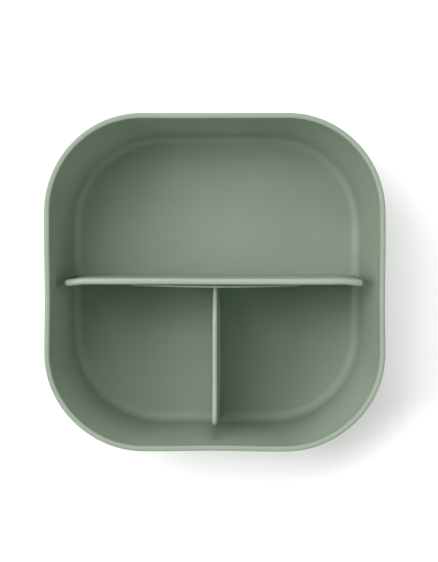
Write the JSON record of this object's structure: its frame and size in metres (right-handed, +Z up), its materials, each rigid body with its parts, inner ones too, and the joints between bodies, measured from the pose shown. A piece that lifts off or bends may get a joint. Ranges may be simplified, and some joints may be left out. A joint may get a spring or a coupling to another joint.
{
  "type": "suction bowl",
  "caption": "Square silicone suction bowl for a small child, with lift-out dividers, a pull-off suction base and a release tab.",
  "frame": {"origin": "on the table, under the middle of the bowl", "axes": "+Z up out of the bowl, +Y towards the large compartment, -Y towards the two small compartments and the release tab, +X along the long divider"},
  "size_m": [0.15, 0.1488, 0.058],
  "materials": {
    "bowl_silicone": "matte sage-green silicone",
    "divider_silicone": "matte sage-green silicone",
    "base_silicone": "matte sage-green silicone, satin on the sealing lip"
  },
  "bodies": {
    "suction_base": {"suction_base": "base_silicone"},
    "release_tab": {"release_tab": "base_silicone"},
    "bowl": {"bowl": "bowl_silicone"},
    "long_divider": {"long_divider": "divider_silicone"},
    "short_divider": {"short_divider": "divider_silicone"}
  },
  "joints": [
    {"name": "bowl_lift", "type": "slide", "parent": "suction_base", "child": "bowl", "axis": [0, 0, 1], "range_m": [0, 0.015]},
    {"name": "long_divider_lift", "type": "slide", "parent": "bowl", "child": "long_divider", "axis": [0, 0, 1], "range_m": [0, 0.05]},
    {"name": "short_divider_lift", "type": "slide", "parent": "bowl", "child": "short_divider", "axis": [0, 0, 1], "range_m": [0, 0.05]},
    {"name": "release_tab_hinge", "type": "hinge", "parent": "suction_base", "child": "release_tab", "pos_m": [0, -0.0637, 0.0012], "axis": [-1, 0, 0], "range_deg": [0, 50], "stiffness_Nm_per_rad": 0.002}
  ]
}
